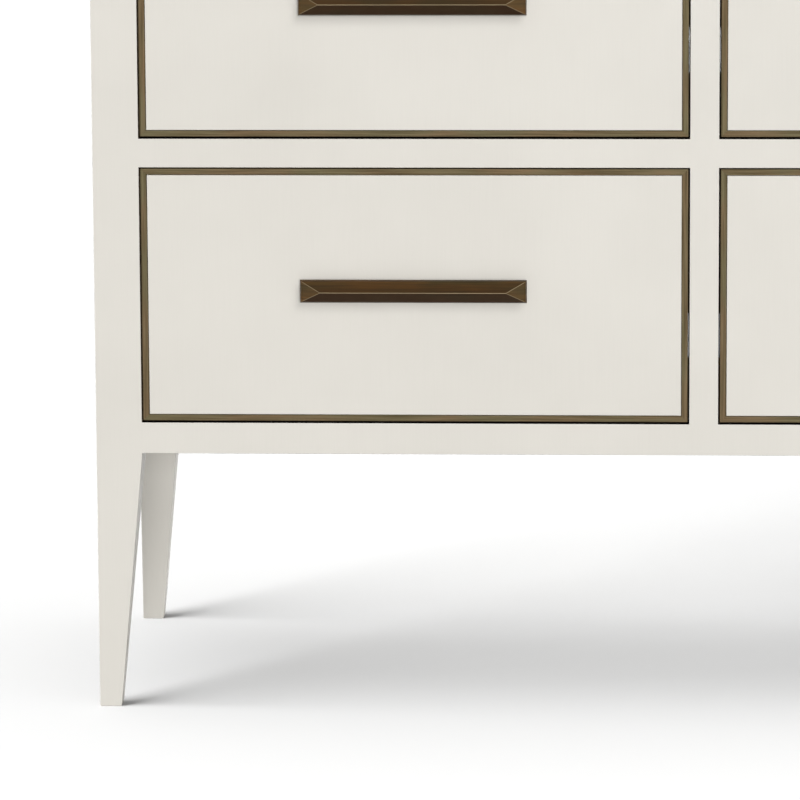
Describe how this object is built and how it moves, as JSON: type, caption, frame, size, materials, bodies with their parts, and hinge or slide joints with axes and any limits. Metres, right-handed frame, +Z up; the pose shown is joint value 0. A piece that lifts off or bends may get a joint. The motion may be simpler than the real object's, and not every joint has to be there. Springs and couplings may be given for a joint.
{
  "type": "chest of drawers",
  "caption": "Low lacquered chest of drawers on tapered legs, with inset drawers edged in bronze, hipped bar pulls, dovetailed boxes and metal slides.",
  "frame": {"origin": "on the floor, under the middle of the whole chest's box, pulls included", "axes": "+X to the right along the chest as seen from its front, +Y from the drawers towards the back, +Z up"},
  "size_m": [1.2104, 0.4858, 0.861],
  "materials": {
    "lacquer": "off-white satin lacquer over wood",
    "bronze": "aged dark bronze, satin",
    "maple": "clear satin lacquer",
    "plywood": "clear satin lacquer",
    "zinc_steel": "bright zinc plate"
  },
  "bodies": {
    "case": {"front_left_post": "lacquer", "front_right_post": "lacquer", "rear_left_post": "lacquer", "rear_right_post": "lacquer", "left_side_panel": "lacquer", "right_side_panel": "lacquer", "top_panel": "lacquer", "bottom_panel": "lacquer", "back_panel": "lacquer", "centre_partition": "plywood", "bottom_front_rail": "lacquer", "middle_front_rail": "lacquer", "top_front_rail": "lacquer", "centre_stile": "lacquer", "rear_bottom_rail": "maple", "rear_top_rail": "maple", "lower_left_left_case_slide": "zinc_steel", "lower_left_right_case_slide": "zinc_steel", "lower_right_left_case_slide": "zinc_steel", "lower_right_right_case_slide": "zinc_steel", "upper_left_left_case_slide": "zinc_steel", "upper_left_right_case_slide": "zinc_steel", "upper_right_left_case_slide": "zinc_steel", "upper_right_right_case_slide": "zinc_steel"},
    "lower_left_drawer": {"lower_left_drawer_front": "lacquer", "lower_left_trim_frame": "bronze", "lower_left_pull": "bronze", "lower_left_drawer_left_side": "maple", "lower_left_drawer_right_side": "maple", "lower_left_drawer_back": "maple", "lower_left_drawer_bottom": "plywood", "lower_left_left_drawer_slide": "zinc_steel", "lower_left_right_drawer_slide": "zinc_steel"},
    "lower_right_drawer": {"lower_right_drawer_front": "lacquer", "lower_right_trim_frame": "bronze", "lower_right_pull": "bronze", "lower_right_drawer_left_side": "maple", "lower_right_drawer_right_side": "maple", "lower_right_drawer_back": "maple", "lower_right_drawer_bottom": "plywood", "lower_right_left_drawer_slide": "zinc_steel", "lower_right_right_drawer_slide": "zinc_steel"},
    "upper_left_drawer": {"upper_left_drawer_front": "lacquer", "upper_left_trim_frame": "bronze", "upper_left_pull": "bronze", "upper_left_drawer_left_side": "maple", "upper_left_drawer_right_side": "maple", "upper_left_drawer_back": "maple", "upper_left_drawer_bottom": "plywood", "upper_left_left_drawer_slide": "zinc_steel", "upper_left_right_drawer_slide": "zinc_steel"},
    "upper_right_drawer": {"upper_right_drawer_front": "lacquer", "upper_right_trim_frame": "bronze", "upper_right_pull": "bronze", "upper_right_drawer_left_side": "maple", "upper_right_drawer_right_side": "maple", "upper_right_drawer_back": "maple", "upper_right_drawer_bottom": "plywood", "upper_right_left_drawer_slide": "zinc_steel", "upper_right_right_drawer_slide": "zinc_steel"}
  },
  "joints": [
    {"name": "lower_left_drawer_slide", "type": "slide", "parent": "case", "child": "lower_left_drawer", "axis": [0, -1, 0], "range_m": [0, 0.3]},
    {"name": "lower_right_drawer_slide", "type": "slide", "parent": "case", "child": "lower_right_drawer", "axis": [0, -1, 0], "range_m": [0, 0.3]},
    {"name": "upper_left_drawer_slide", "type": "slide", "parent": "case", "child": "upper_left_drawer", "axis": [0, -1, 0], "range_m": [0, 0.3]},
    {"name": "upper_right_drawer_slide", "type": "slide", "parent": "case", "child": "upper_right_drawer", "axis": [0, -1, 0], "range_m": [0, 0.3]}
  ]
}
